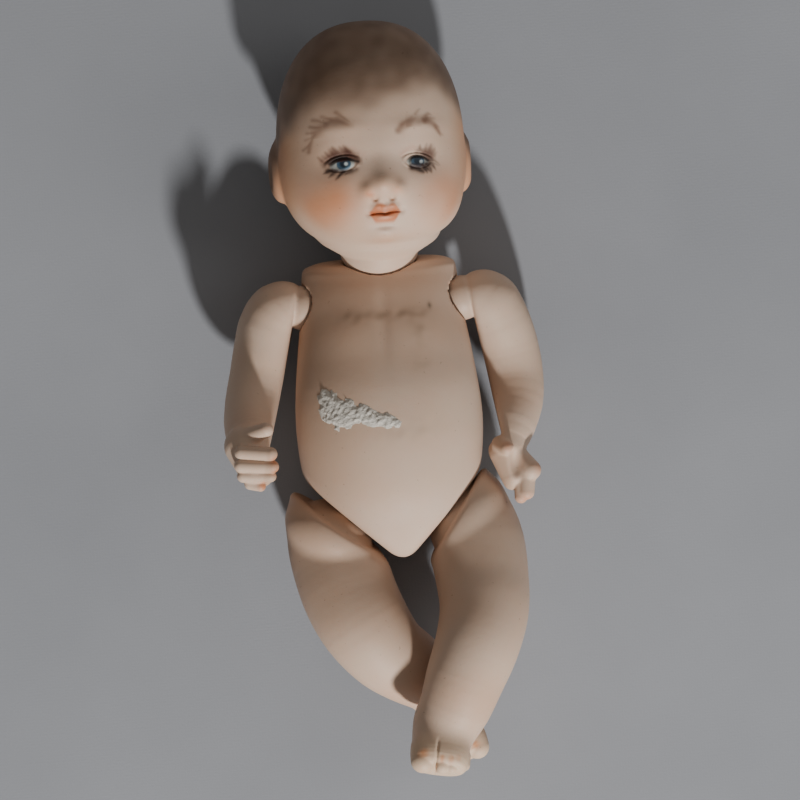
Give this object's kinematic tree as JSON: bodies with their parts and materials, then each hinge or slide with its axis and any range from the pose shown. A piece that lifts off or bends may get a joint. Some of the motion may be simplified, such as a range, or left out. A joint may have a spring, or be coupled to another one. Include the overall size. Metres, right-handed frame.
{
  "type": "jointed porcelain baby doll",
  "caption": "Small hollow bisque porcelain baby doll with a turning, nodding ball neck and elastic-strung arms and legs, lying on its back.",
  "frame": {"origin": "middle of the flat ground on the doll's back, level with the upper belly", "axes": "+X to the doll's own left, +Y towards its crown, +Z out of its front; it lies on its back on z = 0"},
  "size_m": [0.0757, 0.1764, 0.0465],
  "materials": {
    "bisque": "matte",
    "brass": "satin",
    "elastic": "matte",
    "beech": "satin"
  },
  "bodies": {
    "torso": {"torso": "bisque", "stringing_ring": "brass", "neck_elastic": "elastic", "arm_elastic": "elastic", "leg_elastic": "elastic"},
    "neck_hook": {"neck_hook": "brass", "neck_loop": "elastic"},
    "neck_bar": {"neck_bar": "beech"},
    "head": {"head": "bisque"},
    "right_arm_hook": {"right_arm_hook": "brass", "right_arm_loop": "elastic"},
    "right_arm": {"right_arm": "bisque", "right_arm_bar": "bisque"},
    "left_arm_hook": {"left_arm_hook": "brass", "left_arm_loop": "elastic"},
    "left_arm": {"left_arm": "bisque", "left_arm_bar": "bisque"},
    "right_leg_hook": {"right_leg_hook": "brass", "right_leg_loop": "elastic"},
    "right_leg": {"right_leg": "bisque", "right_leg_bar": "bisque"},
    "left_leg_hook": {"left_leg_hook": "brass", "left_leg_loop": "elastic"},
    "left_leg": {"left_leg": "bisque", "left_leg_bar": "bisque"}
  },
  "joints": [
    {"name": "head_turn", "type": "hinge", "parent": "torso", "child": "neck_hook", "pos_m": [0, 0.04041, 0.01488], "axis": [0.0252, 0.9609, 0.2756], "range_deg": [-60, 60]},
    {"name": "head_lean", "type": "hinge", "parent": "neck_hook", "child": "neck_bar", "pos_m": [0, 0.04041, 0.01488], "axis": [0.0973, -0.2768, 0.956], "range_deg": [-8, 8]},
    {"name": "head_nod", "type": "hinge", "parent": "neck_bar", "child": "head", "pos_m": [0, 0.04041, 0.01488], "axis": [0.9949, 0.0028, -0.1005], "range_deg": [-8, 12]},
    {"name": "left_arm_swing", "type": "hinge", "parent": "torso", "child": "left_arm_hook", "pos_m": [0.0188, 0.026, 0.0135], "axis": [-0.9925, -0.1219, 0], "range_deg": [-5, 90]},
    {"name": "left_arm_spread", "type": "hinge", "parent": "left_arm_hook", "child": "left_arm", "pos_m": [0.0188, 0.026, 0.0135], "axis": [0.0377, -0.3067, 0.9511], "range_deg": [-1, 10]},
    {"name": "right_arm_swing", "type": "hinge", "parent": "torso", "child": "right_arm_hook", "pos_m": [-0.0188, 0.026, 0.0135], "axis": [-0.9925, 0.1219, 0], "range_deg": [-5, 90]},
    {"name": "right_arm_spread", "type": "hinge", "parent": "right_arm_hook", "child": "right_arm", "pos_m": [-0.0188, 0.026, 0.0135], "axis": [0.0043, 0.0346, -0.9994], "range_deg": [-7, 5]},
    {"name": "left_leg_swing", "type": "hinge", "parent": "torso", "child": "left_leg_hook", "pos_m": [0.01823, -0.0287, 0.0145], "axis": [-0.766, 0.6428, 0], "range_deg": [0, 34]},
    {"name": "left_leg_rock", "type": "hinge", "parent": "left_leg_hook", "child": "left_leg", "pos_m": [0.01823, -0.0287, 0.0145], "axis": [0.0516, 0.0614, 0.9968], "range_deg": [0, 6]},
    {"name": "right_leg_swing", "type": "hinge", "parent": "torso", "child": "right_leg_hook", "pos_m": [-0.01695, -0.03023, 0.0145], "axis": [-0.766, -0.6428, 0], "range_deg": [-9, 0]},
    {"name": "right_leg_rock", "type": "hinge", "parent": "right_leg_hook", "child": "right_leg", "pos_m": [-0.01695, -0.03023, 0.0145], "axis": [-0.2198, 0.262, -0.9397], "range_deg": [0, 20]}
  ]
}
